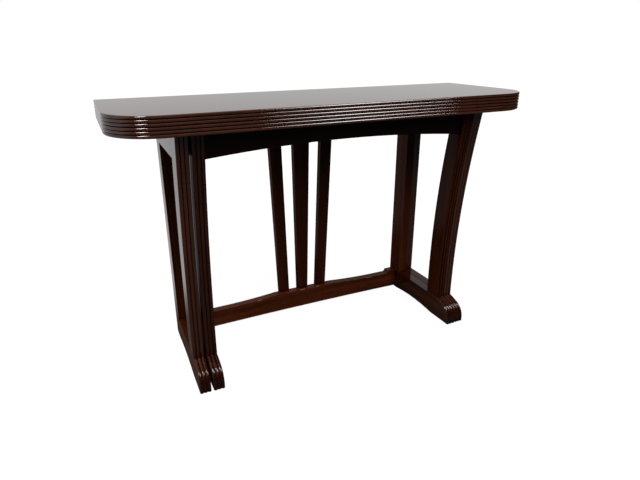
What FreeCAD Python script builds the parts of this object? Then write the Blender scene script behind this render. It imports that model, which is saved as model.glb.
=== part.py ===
import FreeCAD, Part
import math
import os
import Sketcher

# Flip-top folding console table, in millimetres.
#
# +X runs along the table to the right, +Y towards its back and +Z up. The origin is on the floor, in the
# middle of the closed table's plan. Closed, two equal leaves lie face to face on a fixed underframe. Half of
# each end frame is a gate that swings backwards about hinges on its back edge, and the upper leaf then folds
# over on hinges along the back and rests on the two gates.

# ---------------------------------------------------------------------------------------------------------
# Driving dimensions
# ---------------------------------------------------------------------------------------------------------

DIMENSIONS = {
    # The top: two leaves of the same plan, reeded round the left, front and right edges.
    "table_height": 762.0,
    "top_length": 1207.0,
    "top_depth": 398.0,
    "top_corner_radius": 120.0,
    "leaf_thickness": 24.4,
    "leaf_gap": 0.5,
    "reed_depth": 3.0,
    # The end frames: each is two halves side by side, and the outer one is the gate.
    "frame_inner_spacing": 775.0,
    "half_frame_thickness": 31.2,
    "frame_seam": 0.5,
    "gate_floor_clearance": 1.0,
    "gate_top_clearance": 0.5,
    "rest_ajar_angle": 1.1,
    # Front legs: both faces are arcs of one radius that lean forwards above their waists.
    "leg_curve_radius": 2950.0,
    "leg_front_setback": 288.6,
    "leg_front_waist_height": 120.0,
    "leg_rear_setback": 234.6,
    "leg_rear_waist_height": 155.0,
    "fixed_back_leg_depth": 64.5,
    "gate_back_leg_depth": 54.4,
    "top_rail_height": 70.2,
    # Sleds: the rails on the floor, with a sloping foot and a rounded nose.
    "sled_height": 71.0,
    "foot_reach": 356.4,
    "foot_slope": 18.0,
    "nose_radius": 50.0,
    "sled_arch_front": 262.0,
    "sled_arch_back": 50.0,
    "sled_arch_rise": 7.5,
    # Rails between the two end frames.
    "apron_setback": 328.0,
    "apron_thickness": 22.0,
    "apron_arch_rise": 19.0,
    "back_panel_thickness": 13.0,
    "rail_thickness": 25.0,
    "stretcher_top_height": 73.0,
    "stretcher_dip": 10.0,
    "stretcher_crown_half": 105.0,
    "stretcher_sweep_length": 205.0,
    "stretcher_block_length": 35.5,
    "stretcher_foot_clearance": 5.5,
    "stretcher_arch_rise": 3.5,
    # Slats that stand between the stretcher and the back rail.
    "slat_thickness": 22.0,
    "side_slat_foot_centre": 71.0,
    "side_slat_head_centre": 92.1,
    "side_slat_foot_width": 34.8,
    "side_slat_head_width": 41.4,
    "centre_slat_foot_width": 36.0,
    "centre_slat_head_width": 57.6,
    "slat_end_margin": 3.0,
    # Joinery.
    "tenon_thickness": 10.0,
    "leg_tenon_depth": 33.0,
    "leg_tenon_shoulder": 7.5,
    "rail_tenon_length": 20.0,
    "rail_tenon_shoulder": 9.0,
    "apron_tenon_length": 9.0,
    "joint_clearance": 0.1,
    # Blocks glued in the corners and at the middle of the underframe.
    "block_side": 32.0,
    "block_height": 45.0,
    # Butt hinges: the pin's axis stands a little behind the wood, and the plates are let in flush.
    "hinge_axis_offset": 0.5,
    "barrel_radius": 2.5,
    "hinge_plate_thickness": 2.0,
    "hinge_pin_radius": 1.25,
    "hinge_pin_clearance": 0.05,
    "knuckle_gap": 0.25,
    "barrel_clearance": 0.4,
    "gate_hinge_length": 64.0,
    "gate_plate_width": 22.0,
    "gate_hinge_low_height": 142.0,
    "gate_hinge_high_drop": 118.3,
    "leaf_hinge_length": 60.0,
    "leaf_plate_width": 20.0,
    "leaf_hinge_end_inset": 153.5,
    "hinge_screw_pitch": 22.0,
    # Screws: plain shanks that stand for the threads.
    "hinge_screw_length": 20.0,
    "hinge_screw_radius": 1.6,
    "hinge_screw_head_radius": 3.2,
    "frame_screw_radius": 2.2,
    "frame_screw_head_radius": 4.3,
    "slat_screw_length": 30.0,
    "slat_screw_spacing": 24.0,
    "top_screw_length": 60.0,
    "screw_slot_width": 0.9,
    "screw_clearance": 0.05,
    "screw_tip_room": 1.0,
    # The flat planed along sharp arrises.
    "arris_width": 1.0,
}

REEDS = 3            # rounded reeds on each leaf's edge and on each half frame's front
PLATE_SCREWS = 3     # screws in each hinge plate
LEFT = -1            # side of the table, and side of an outline's edge on which an arc's centre lies
RIGHT = 1
ALLOWANCE = 1.0      # waste left on a face for a shaping cut to take off
OVERRUN = 5.0        # how far a cutter runs past the wood
LEG_ARC_SWEEP = 40   # degrees of turn that cover a leg's whole front
LONG_EDGE = 150.0    # edges longer than this are the arrises that a hand meets
POINT_TAPER = 4      # how many times thinner a screw is at its point

AXIS_X = FreeCAD.Vector(1, 0, 0)
AXIS_Y = FreeCAD.Vector(0, 1, 0)
AXIS_Z = FreeCAD.Vector(0, 0, 1)
UPRIGHT = FreeCAD.Rotation()
TO_BACK = FreeCAD.Rotation(AXIS_X, -90)      # turns +Z to +Y
TO_FRONT = FreeCAD.Rotation(AXIS_X, 90)      # turns +Z to -Y
UPSIDE_DOWN = FreeCAD.Rotation(AXIS_X, 180)  # turns +Z to -Z
ALONG_TOP = FreeCAD.Rotation(AXIS_Y, -90)    # turns +X to +Z and +Z to -X


# ---------------------------------------------------------------------------------------------------------
# Sizes that know their formula in the sheet
# ---------------------------------------------------------------------------------------------------------

class Size:
    """A number together with the sheet formula that gives it, so that a property can be bound to it."""

    def __init__(self, value, formula):
        self.value = float(value)
        self.formula = formula

    def __add__(self, other):
        other = as_size(other)
        return Size(self.value + other.value, "(%s + %s)" % (self.formula, other.formula))

    def __sub__(self, other):
        other = as_size(other)
        return Size(self.value - other.value, "(%s - %s)" % (self.formula, other.formula))

    def __mul__(self, other):
        other = as_size(other)
        return Size(self.value * other.value, "(%s * %s)" % (self.formula, other.formula))

    def __truediv__(self, other):
        other = as_size(other)
        return Size(self.value / other.value, "(%s / %s)" % (self.formula, other.formula))

    def __radd__(self, other):
        return as_size(other) + self

    def __rsub__(self, other):
        return as_size(other) - self

    def __rmul__(self, other):
        return as_size(other) * self

    def __neg__(self):
        return 0 - self


def as_size(number):
    return number if isinstance(number, Size) else Size(number, "(%r)" % float(number))


def root(size):
    return Size(math.sqrt(size.value), "sqrt(%s)" % size.formula)


def sine(angle):
    return Size(math.sin(math.radians(angle.value)), "sin(%s)" % angle.formula)


def cosine(angle):
    return Size(math.cos(math.radians(angle.value)), "cos(%s)" % angle.formula)


class Sizes:
    """The spreadsheet of driving dimensions, and a Size for each of its aliases."""

    def __init__(self, document, dimensions):
        sheet = document.addObject("Spreadsheet::Sheet", "Sizes")
        for row, (alias, value) in enumerate(dimensions.items(), start=1):
            sheet.set("A%d" % row, alias.replace("_", " "))
            sheet.set("B%d" % row, str(value))
            sheet.setAlias("B%d" % row, alias)
            setattr(self, alias, Size(value, "Sizes.%s" % alias))


doc = FreeCAD.newDocument("FoldingConsoleTable")
size = Sizes(doc, DIMENSIONS)
doc.recompute()

# Places that several pieces share. A piece's own frame has y = 0 at the back faces of the wood.
back_plane = (size.top_depth - size.hinge_axis_offset - size.barrel_radius) / 2
frame_top = size.table_height - size.leaf_thickness * 2 - size.leaf_gap
leaf_seam_height = size.table_height - size.leaf_thickness - size.leaf_gap / 2
frame_inner = size.frame_inner_spacing / 2
seam_centre = frame_inner + size.half_frame_thickness + size.frame_seam / 2
rail_underside = frame_top - size.top_rail_height
rail_back = -size.back_panel_thickness
rail_front = rail_back - size.rail_thickness
apron_front = -size.apron_setback
apron_back = apron_front + size.apron_thickness
block_underside = frame_top - size.block_height
apron_tenon_front = apron_front + (size.apron_thickness - size.tenon_thickness) / 2
apron_tenon_back = apron_tenon_front + size.tenon_thickness


class Screw:
    """A countersunk screw: its head is a cone of 90 degrees, and its shank ends in a point."""

    def __init__(self, label, length, radius, head_radius):
        self.label, self.length = label, length
        self.radius, self.head_radius = radius, head_radius
        self.head_height = head_radius - radius
        self.point_length = radius * 2
        self.hole_depth = length + size.screw_tip_room


HINGE_SCREW = Screw("hinge_screw", size.hinge_screw_length, size.hinge_screw_radius,
                    size.hinge_screw_head_radius)
SLAT_SCREW = Screw("slat_screw", size.slat_screw_length, size.frame_screw_radius,
                   size.frame_screw_head_radius)
TOP_SCREW = Screw("top_screw", size.top_screw_length, size.frame_screw_radius,
                  size.frame_screw_head_radius)


class Hinge:
    """A kind of butt hinge. turned(across, along) gives x and z from places across the pin and along it."""

    def __init__(self, length, plate_width, seam, turned):
        self.length, self.plate_width, self.seam = length, plate_width, seam
        self.turned = turned
        self.screw_column = (plate_width + size.barrel_radius) / 2


GATE_HINGE = Hinge(size.gate_hinge_length, size.gate_plate_width, size.frame_seam,
                   lambda across, along: (across, along))
LEAF_HINGE = Hinge(size.leaf_hinge_length, size.leaf_plate_width, size.leaf_gap,
                   lambda across, along: (along, across))


# ---------------------------------------------------------------------------------------------------------
# Small tools for drawing, cutting and placing
# ---------------------------------------------------------------------------------------------------------

def bind(thing, **sizes):
    """Sets number properties of an object, each bound to its formula."""
    for name, amount in sizes.items():
        amount = as_size(amount)
        setattr(thing, name, amount.value)
        thing.setExpression(name, amount.formula)


def place(thing, corner, rotation=UPRIGHT):
    """Places an object with its own origin at corner, each coordinate bound to its formula."""
    corner = [as_size(amount) for amount in corner]
    thing.Placement = FreeCAD.Placement(FreeCAD.Vector(*[amount.value for amount in corner]), rotation)
    for axis, amount in zip("xyz", corner):
        thing.setExpression("Placement.Base.%s" % axis, amount.formula)


nodes = []


def new_body(label, is_node=True):
    """A new piece. A pattern that others copy isn't a node of its own."""
    body = doc.addObject("PartDesign::Body", label)
    body.Label = label
    if is_node:
        nodes.append(body)
    return body


def feature(body, kind, name):
    return body.newObject("PartDesign::%s" % kind, "%s_%s" % (body.Name, name))


def block(body, kind, name, low, high):
    """Adds or cuts a box between two corners."""
    low = [as_size(amount) for amount in low]
    high = [as_size(amount) for amount in high]
    box = feature(body, kind + "Box", name)
    bind(box, Length=high[0] - low[0], Width=high[1] - low[1], Height=high[2] - low[2])
    place(box, low)
    return box


def rod(body, kind, name, start, radius, length, rotation=UPRIGHT):
    """Adds or cuts a cylinder that runs from start along the turned +Z."""
    cylinder = feature(body, kind + "Cylinder", name)
    bind(cylinder, Radius=radius, Height=length)
    place(cylinder, start, rotation)
    return cylinder


def taper(body, kind, name, start, radius_at_start, radius_at_end, length, rotation=UPRIGHT):
    """Adds or cuts a cone that runs from start along the turned +Z."""
    cone = feature(body, kind + "Cone", name)
    bind(cone, Radius1=radius_at_start, Radius2=radius_at_end, Height=length)
    place(cone, start, rotation)
    return cone


def new_sketch(body, name, plane, lift=0, across=0, tilt=0):
    """A sketch on one of the body's own origin planes, lifted along its normal, moved up its second axis
    by across, and then tilted about its first axis."""
    sketch = body.newObject("Sketcher::SketchObject", "%s_%s" % (body.Name, name))
    support = next(item for item in body.Origin.OriginFeatures if item.Role == plane)
    sketch.AttachmentSupport = [(support, "")]
    sketch.MapMode = "FlatFace"
    lift, across, tilt = as_size(lift), as_size(across), as_size(tilt)
    shift = FreeCAD.Vector(0, across.value, lift.value)
    sketch.AttachmentOffset = FreeCAD.Placement(shift, FreeCAD.Rotation(AXIS_X, tilt.value))
    sketch.setExpression("AttachmentOffset.Base.y", across.formula)
    sketch.setExpression("AttachmentOffset.Base.z", lift.formula)
    if tilt.value:
        sketch.setExpression("AttachmentOffset.Rotation.Angle", tilt.formula)
    return sketch


def arc_between(start, end, radius, side):
    """The shorter arc from start to end, its centre to the LEFT or RIGHT of the way from one to the other.
    Gives the arc, and which of its ends, 1 or 2, is at start and at end."""
    chord = end - start
    height = math.sqrt(radius ** 2 - (chord.Length / 2) ** 2)
    leftwards = FreeCAD.Vector(-chord.y, chord.x, 0).normalize()
    centre = (start + end) / 2 - leftwards * height * side
    angles = [math.atan2(point.y - centre.y, point.x - centre.x) for point in (start, end)]
    if side == RIGHT:
        angles.reverse()
    if angles[1] < angles[0]:
        angles[1] += 2 * math.pi
    circle = Part.Circle(centre, AXIS_Z, radius)
    ends = (1, 2) if side == LEFT else (2, 1)
    return Part.ArcOfCircle(circle, angles[0], angles[1]), ends


def draw(sketch, corners, closed=True):
    """Draws an outline through corners given as (x, y), or as (x, y, radius, side) where an arc leads to
    the corner. Every corner and radius is dimensioned and bound."""
    corners = [tuple(as_size(amount) for amount in corner[:3]) + tuple(corner[3:]) for corner in corners]
    points = [FreeCAD.Vector(corner[0].value, corner[1].value, 0) for corner in corners]
    constraints, formulas, edges = [], [], []
    for index in range(0 if closed else 1, len(corners)):
        corner, start, end = corners[index], points[index - 1], points[index]
        if len(corner) > 2:
            arc, ends = arc_between(start, end, corner[2].value, corner[3])
            edge = sketch.addGeometry(arc, False)
            constraints.append(Sketcher.Constraint("Radius", edge, corner[2].value))
            formulas.append(corner[2].formula)
        else:
            edge, ends = sketch.addGeometry(Part.LineSegment(start, end), False), (1, 2)
        edges.append((edge, ends))
        constraints.append(Sketcher.Constraint("DistanceX", -1, 1, edge, ends[1], end.x))
        constraints.append(Sketcher.Constraint("DistanceY", -1, 1, edge, ends[1], end.y))
        formulas += [corner[0].formula, corner[1].formula]
    if not closed:
        edge, ends = edges[0]
        constraints.append(Sketcher.Constraint("DistanceX", -1, 1, edge, ends[0], points[0].x))
        constraints.append(Sketcher.Constraint("DistanceY", -1, 1, edge, ends[0], points[0].y))
        formulas += [corners[0][0].formula, corners[0][1].formula]
    following = edges[1:] + edges[:1] if closed else edges[1:]
    for (edge, ends), (next_edge, next_ends) in zip(edges, following):
        constraints.append(Sketcher.Constraint("Coincident", edge, ends[1], next_edge, next_ends[0]))
    first = sketch.ConstraintCount
    sketch.addConstraint(constraints)
    for index, formula in enumerate(formulas):
        sketch.setExpression("Constraints[%d]" % (first + index), formula)


def pad(body, name, plane, lift, thickness, corners):
    """Pads an outline along the normal of one of the body's planes."""
    sketch = new_sketch(body, name + "_outline", plane, lift)
    draw(sketch, corners)
    solid = feature(body, "Pad", name)
    solid.Profile = sketch
    bind(solid, Length=thickness)
    return solid


def soften(body, name, chosen):
    """Planes a narrow flat along the edges of the piece as it stands for which chosen(edge) is true."""
    doc.recompute()
    base = body.Tip
    names = ["Edge%d" % number for number, edge in enumerate(base.Shape.Edges, start=1) if chosen(edge)]
    chamfer = feature(body, "Chamfer", name)
    chamfer.Base = (base, names)
    bind(chamfer, Size=size.arris_width)


def reed_comb(at, width):
    """Corners of the cutter that leaves REEDS rounded reeds across a width. at(along, out) turns a place
    along the width and out from the crests into the sketch's own coordinates."""
    pitch = width / REEDS
    radius = (pitch * pitch / 4 + size.reed_depth * size.reed_depth) / (size.reed_depth * 2)
    clear = 2 * ALLOWANCE
    corners = [at(-clear, clear), at(-clear, -size.reed_depth), at(0, -size.reed_depth)]
    for reed in range(1, REEDS + 1):
        corners.append(at(pitch * reed, -size.reed_depth) + (radius, RIGHT))
    return corners + [at(width + clear, -size.reed_depth), at(width + clear, clear)]


def rounded_setback(setback, waist_height, height):
    """How far in front of the back plane an arc of the leg's radius stands at a height."""
    rise = height - waist_height
    reach = size.leg_curve_radius * size.leg_curve_radius
    return setback + size.leg_curve_radius - root(reach - rise * rise)


def front_face(height):
    return -rounded_setback(size.leg_front_setback, size.leg_front_waist_height, height)


def rear_face(height):
    return -rounded_setback(size.leg_rear_setback, size.leg_rear_waist_height, height)


def stand_in_room(thing, x=0):
    """Places a piece whose own frame has its y = 0 at the back plane and its z = 0 on the floor."""
    place(thing, (x, back_plane, 0))


# ---------------------------------------------------------------------------------------------------------
# Hinge seats and screw holes
# ---------------------------------------------------------------------------------------------------------

def sink_screw_hole(body, name, start, rotation, depth, screw):
    """Drills a hole for a screw's shank, countersunk for its head."""
    radius, head_radius = screw.radius + size.screw_clearance, screw.head_radius + size.screw_clearance
    rod(body, "Subtractive", name, start, radius, depth, rotation)
    taper(body, "Subtractive", name + "_sink", start, head_radius, radius, screw.head_height, rotation)


def screw_rows():
    """Places of a hinge plate's screws along the hinge, from its middle."""
    return [size.hinge_screw_pitch * (index - (PLATE_SCREWS - 1) / 2) for index in range(PLATE_SCREWS)]


def seat_hinge(body, name, hinge, toward, seam_place, centre):
    """Lets a hinge plate into the back of a piece that lies toward (+1 or -1) its seam, with room for the
    barrel and holes for the screws."""
    half = hinge.length / 2 + size.joint_clearance
    channel = size.barrel_radius + size.barrel_clearance
    for part, width, depth in (
        ("gain", hinge.plate_width + size.joint_clearance, size.hinge_plate_thickness),
        ("channel", channel, channel - size.hinge_axis_offset),
    ):
        near, far = (0, width) if toward > 0 else (-width, 0)
        low_x, low_z = hinge.turned(seam_place + near, centre - half)
        high_x, high_z = hinge.turned(seam_place + far, centre + half)
        block(body, "Subtractive", "%s_%s" % (name, part), (low_x, -depth, low_z), (high_x, OVERRUN, high_z))
    for number, row in enumerate(screw_rows()):
        x, z = hinge.turned(seam_place + toward * hinge.screw_column, centre + row)
        rod(body, "Subtractive", "%s_screw_hole_%d" % (name, number), (x, 0, z),
            HINGE_SCREW.radius + size.screw_clearance, HINGE_SCREW.hole_depth, TO_FRONT)


def leaf_hinge_places():
    spacing = size.top_length / 2 - size.leaf_hinge_end_inset
    return (("left", -spacing), ("centre", as_size(0)), ("right", spacing))


def gate_hinge_places():
    return (("lower", size.gate_hinge_low_height), ("upper", frame_top - size.gate_hinge_high_drop))


def top_screw_places():
    """Plan places of the screws that hold the top down, one through each block."""
    inset = size.block_side / 2
    places = []
    for side in (LEFT, RIGHT):
        for depth in (apron_back + inset, rail_front - inset):
            places.append((side * (frame_inner - inset), depth))
    places.append((as_size(0), apron_back + inset))
    places.append((as_size(0), rail_front - inset))
    return places


# ---------------------------------------------------------------------------------------------------------
# The top
# ---------------------------------------------------------------------------------------------------------

def build_leaf(label, underside, toward):
    """A leaf of the top; toward is +1 for the leaf above the seam and -1 for the one below it."""
    body = new_body(label)
    half, depth, corner = size.top_length / 2, size.top_depth, size.top_corner_radius
    rough_half, rough_depth, rough_corner = half + ALLOWANCE, depth + ALLOWANCE, corner + ALLOWANCE
    pad(body, "slab", "XY_Plane", underside, size.leaf_thickness, [
        (rough_half, 0),
        (-rough_half, 0),
        (-rough_half, corner - depth),
        (corner - half, -rough_depth, rough_corner, LEFT),
        (half - corner, -rough_depth),
        (rough_half, corner - depth, rough_corner, LEFT),
    ])
    path = new_sketch(body, "edge_path", "XY_Plane", underside)
    draw(path, [
        (-half, OVERRUN),
        (-half, corner - depth),
        (corner - half, -depth, corner, LEFT),
        (half - corner, -depth),
        (half, corner - depth, corner, LEFT),
        (half, OVERRUN),
    ], closed=False)
    comb = new_sketch(body, "reed_comb", "XZ_Plane", -OVERRUN)
    draw(comb, reed_comb(lambda along_edge, out: (-half - out, underside + along_edge), size.leaf_thickness))
    reeds = feature(body, "SubtractivePipe", "reeds")
    reeds.Profile = comb
    reeds.Spine = path
    for name, centre in leaf_hinge_places():
        seat_hinge(body, "%s_hinge" % name, LEAF_HINGE, toward, leaf_seam_height, centre)
    if toward < 0:
        hole_depth = TOP_SCREW.hole_depth - size.block_height
        for index, (across, back) in enumerate(top_screw_places()):
            rod(body, "Subtractive", "fixing_hole_%d" % index, (across, back, underside),
                TOP_SCREW.radius + size.screw_clearance, hole_depth)
    stand_in_room(body)
    return body


# ---------------------------------------------------------------------------------------------------------
# End frames. A half frame's own frame has x = 0 at the seam between the halves and y = 0 at the back.
# ---------------------------------------------------------------------------------------------------------

class HalfFrame:
    """One half of an end frame: the fixed inner half or the gate outside it."""

    def __init__(self, side, is_gate):
        self.side = side
        self.is_gate = is_gate
        self.name = "%s_%s" % ("left" if side == LEFT else "right", "gate" if is_gate else "fixed")
        self.toward = side if is_gate else -side
        self.lift = size.gate_floor_clearance if is_gate else as_size(0)
        self.top = frame_top - size.gate_top_clearance if is_gate else frame_top
        self.back_leg_depth = size.gate_back_leg_depth if is_gate else size.fixed_back_leg_depth
        near = size.frame_seam / 2
        far = near + size.half_frame_thickness
        self.low_x, self.high_x = (near, far) if self.toward > 0 else (-far, -near)
        self.middle_x = (self.low_x + self.high_x) / 2
        self.inner_x = self.low_x if side == RIGHT else self.high_x
        self.sled_top = size.sled_height + self.lift
        self.ajar = size.rest_ajar_angle if is_gate and side == LEFT else as_size(0)

    def turn(self, thing, corner):
        """Places a thing turned outwards by the angle at which the half frame stands."""
        place(thing, corner, FreeCAD.Rotation(AXIS_Z * self.side, self.ajar.value))
        if self.ajar.value:
            thing.setExpression("Placement.Rotation.Angle", self.ajar.formula)

    def settle(self, thing):
        """Places a piece of the half frame, turned about the hinge axis behind its back face."""
        offset = size.hinge_axis_offset
        across = self.side * (seam_centre + offset * sine(self.ajar))
        self.turn(thing, (across, back_plane + offset - offset * cosine(self.ajar), 0))

    def hang(self, plate, height):
        """Places a hinge plate whose own origin is on the hinge axis."""
        self.turn(plate, (self.side * seam_centre, back_plane + size.hinge_axis_offset, height))

    def tenon_span(self):
        half = size.tenon_thickness / 2
        return self.middle_x - half, self.middle_x + half


def front_tenon_range(half_frame):
    """Where a front leg's foot tenon lies, front to back."""
    shoulder = size.leg_tenon_shoulder
    return front_face(half_frame.sled_top) + shoulder, rear_face(half_frame.sled_top) - shoulder


def back_tenon_range(half_frame):
    """Where a back leg's foot tenon lies, front to back."""
    rear = -size.hinge_plate_thickness - size.leg_tenon_shoulder * 2
    return -half_frame.back_leg_depth + size.leg_tenon_shoulder, rear


def rail_tenon_heights(half_frame):
    return rail_underside + size.rail_tenon_shoulder, half_frame.top - size.rail_tenon_shoulder


def long_rear_edges(front_limit):
    """Chooses the long arrises of an upright that lie behind a depth."""
    return lambda edge: edge.Length > LONG_EDGE and edge.CenterOfMass.y > front_limit.value


def cut_leg_reeds(body, half_frame):
    """Shapes the front of a leg into reeds, turned about the centre of the leg's front arc."""
    waist = -size.leg_front_setback
    sketch = new_sketch(body, "reed_comb", "XY_Plane", size.leg_front_waist_height)
    draw(sketch, reed_comb(lambda along_face, out: (half_frame.high_x - along_face, waist - out),
                           size.half_frame_thickness))
    centre = waist - size.leg_curve_radius
    axis_ends = [FreeCAD.Vector(x, centre.value, 0) for x in (-OVERRUN, OVERRUN)]
    axis = sketch.addGeometry(Part.LineSegment(*axis_ends), True)
    for end, point in enumerate(axis_ends, start=1):
        sketch.addConstraint(Sketcher.Constraint("DistanceX", -1, 1, axis, end, point.x))
        number = sketch.addConstraint(Sketcher.Constraint("DistanceY", -1, 1, axis, end, point.y))
        sketch.setExpression("Constraints[%d]" % number, centre.formula)
    reeds = feature(body, "Groove", "reeds")
    reeds.Profile = sketch
    reeds.ReferenceAxis = (sketch, ["Axis0"])
    reeds.Midplane = True
    reeds.Angle = LEG_ARC_SWEEP


def beside(half_frame, reach, outside=OVERRUN):
    """Low and high x of a cut or tenon at the inner face of a half frame, reach deep into it."""
    inward = half_frame.inner_x - half_frame.side * outside
    outward = half_frame.inner_x + half_frame.side * reach
    return (inward, outward) if half_frame.side > 0 else (outward, inward)


def build_front_leg(half_frame):
    body = new_body("%s_front_leg" % half_frame.name)
    foot, top = half_frame.sled_top, half_frame.top
    radius = size.leg_curve_radius
    pad(body, "post", "YZ_Plane", half_frame.low_x, size.half_frame_thickness, [
        (front_face(foot) - ALLOWANCE, foot, radius, RIGHT),
        (rear_face(foot), foot),
        (rear_face(top), top, radius, LEFT),
        (front_face(top) - ALLOWANCE, top),
    ])
    soften(body, "rear_arrises", long_rear_edges((front_face(foot) + rear_face(top)) / 2))
    cut_leg_reeds(body, half_frame)
    near, far = half_frame.tenon_span()
    front, back = front_tenon_range(half_frame)
    block(body, "Additive", "foot_tenon", (near, front, foot - size.leg_tenon_depth), (far, back, foot))
    low, high = rail_tenon_heights(half_frame)
    clear = size.joint_clearance
    block(body, "Subtractive", "rail_mortise",
          (near - clear, rear_face(top) - size.rail_tenon_length - clear, low - clear),
          (far + clear, rear_face(low) + OVERRUN, high + clear))
    if not half_frame.is_gate:
        left, right = beside(half_frame, size.apron_tenon_length + clear)
        block(body, "Subtractive", "apron_mortise",
              (left, apron_tenon_front - clear, low - clear),
              (right, apron_tenon_back + clear, high + clear))
    half_frame.settle(body)


def build_back_leg(half_frame):
    body = new_body("%s_back_leg" % half_frame.name)
    foot, top = half_frame.sled_top, half_frame.top
    front = -half_frame.back_leg_depth
    block(body, "Additive", "post", (half_frame.low_x, front, foot), (half_frame.high_x, 0, top))
    soften(body, "front_arrises", lambda edge: (
        edge.Length > LONG_EDGE and edge.CenterOfMass.y < front.value / 2))
    near, far = half_frame.tenon_span()
    tenon_front, tenon_back = back_tenon_range(half_frame)
    block(body, "Additive", "foot_tenon", (near, tenon_front, foot - size.leg_tenon_depth),
          (far, tenon_back, foot))
    low, high = rail_tenon_heights(half_frame)
    clear = size.joint_clearance
    block(body, "Subtractive", "rail_mortise",
          (near - clear, front - OVERRUN, low - clear),
          (far + clear, front + size.rail_tenon_length + clear, high + clear))
    if not half_frame.is_gate:
        left, right = beside(half_frame, size.rail_tenon_length / 2 + clear)
        block(body, "Subtractive", "back_rail_mortise",
              (left, rail_front + size.rail_tenon_shoulder - clear, low - clear),
              (right, rail_back - size.rail_tenon_shoulder + clear, high + clear))
    for name, height in gate_hinge_places():
        seat_hinge(body, "%s_hinge" % name, GATE_HINGE, half_frame.toward, 0, height)
    half_frame.settle(body)


def build_top_rail(half_frame):
    body = new_body("%s_top_rail" % half_frame.name)
    top, front_of_back_leg = half_frame.top, -half_frame.back_leg_depth
    pad(body, "rail", "YZ_Plane", half_frame.low_x, size.half_frame_thickness, [
        (rear_face(top), top),
        (rear_face(rail_underside), rail_underside, size.leg_curve_radius, RIGHT),
        (front_of_back_leg, rail_underside),
        (front_of_back_leg, top),
    ])
    near, far = half_frame.tenon_span()
    low, high = rail_tenon_heights(half_frame)
    overlap = rear_face(rail_underside) - rear_face(top) + OVERRUN
    block(body, "Additive", "front_tenon", (near, rear_face(top) - size.rail_tenon_length, low),
          (far, rear_face(top) + overlap, high))
    block(body, "Additive", "back_tenon", (near, front_of_back_leg - OVERRUN, low),
          (far, front_of_back_leg + size.rail_tenon_length, high))
    half_frame.settle(body)


def build_sled(half_frame):
    body = new_body("%s_sled" % half_frame.name)
    lift, top, radius = half_frame.lift, half_frame.sled_top, size.nose_radius
    shoulder_y = front_face(top)
    nose_centre_y = radius - size.foot_reach
    drop, spread = sine(size.foot_slope), cosine(size.foot_slope)
    nose_centre_z = top - (radius + (shoulder_y - nose_centre_y) * drop) / spread
    bend_y, bend_z = nose_centre_y - radius * drop, nose_centre_z + radius * spread
    arch_chord = size.sled_arch_front - size.sled_arch_back
    rise = size.sled_arch_rise
    arch_radius = (arch_chord * arch_chord / 4 + rise * rise) / (rise * 2)
    rough_radius = radius + ALLOWANCE
    pad(body, "rail", "YZ_Plane", half_frame.low_x, size.half_frame_thickness, [
        (0, lift),
        (0, top),
        (shoulder_y - ALLOWANCE * drop, top),
        (bend_y - ALLOWANCE * drop, bend_z + ALLOWANCE * spread),
        (nose_centre_y - rough_radius, nose_centre_z, rough_radius, LEFT),
        (nose_centre_y - rough_radius, lift),
        (-size.sled_arch_front, lift),
        (-size.sled_arch_back, lift, arch_radius, RIGHT),
    ])
    start_y, start_z = shoulder_y + OVERRUN * spread, top + OVERRUN * drop
    path = new_sketch(body, "foot_path", "YZ_Plane", half_frame.high_x)
    draw(path, [
        (start_y, start_z),
        (bend_y, bend_z),
        (nose_centre_y - radius, nose_centre_z, radius, LEFT),
        (nose_centre_y - radius, lift - OVERRUN),
    ], closed=False)
    comb = new_sketch(body, "reed_comb", "XZ_Plane", -start_y, start_z, size.foot_slope)
    draw(comb, reed_comb(lambda along_face, out: (half_frame.low_x + along_face, out),
                         size.half_frame_thickness))
    reeds = feature(body, "SubtractivePipe", "reeds")
    reeds.Profile = comb
    reeds.Spine = path
    near, far = half_frame.tenon_span()
    clear = size.joint_clearance
    mortises = (("front", front_tenon_range(half_frame)), ("back", back_tenon_range(half_frame)))
    for name, (front, back) in mortises:
        block(body, "Subtractive", "%s_leg_mortise" % name,
              (near - clear, front - clear, top - size.leg_tenon_depth - clear),
              (far + clear, back + clear, top + OVERRUN))
    if not half_frame.is_gate:
        left, right = beside(half_frame, size.rail_tenon_length + clear)
        low, high = stretcher_tenon_heights()
        block(body, "Subtractive", "stretcher_mortise",
              (left, rail_front + size.rail_tenon_shoulder - clear, low - clear),
              (right, rail_back - size.rail_tenon_shoulder + clear, high + clear))
    half_frame.settle(body)


# ---------------------------------------------------------------------------------------------------------
# Rails and slats between the end frames. Their own frame has x = 0 in the middle of the table.
# ---------------------------------------------------------------------------------------------------------

def stretcher_tenon_heights():
    """The stretcher's tenons lie below the leg's, so that the two mortises in a sled stay apart."""
    low = size.stretcher_foot_clearance + size.rail_tenon_shoulder
    return low, size.sled_height - size.leg_tenon_depth - size.rail_tenon_shoulder / 2


def add_end_tenons(body, reach, front, back, low, high):
    """Adds a tenon at each end of a rail that runs between the fixed frames' inner faces."""
    block(body, "Additive", "left_tenon", (-frame_inner - reach, front, low),
          (OVERRUN - frame_inner, back, high))
    block(body, "Additive", "right_tenon", (frame_inner - OVERRUN, front, low),
          (frame_inner + reach, back, high))


def long_lower_edges(limit):
    """Chooses the long arrises of a rail that lie below a height."""
    return lambda edge: edge.Length > LONG_EDGE and edge.CenterOfMass.z < limit.value


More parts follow.
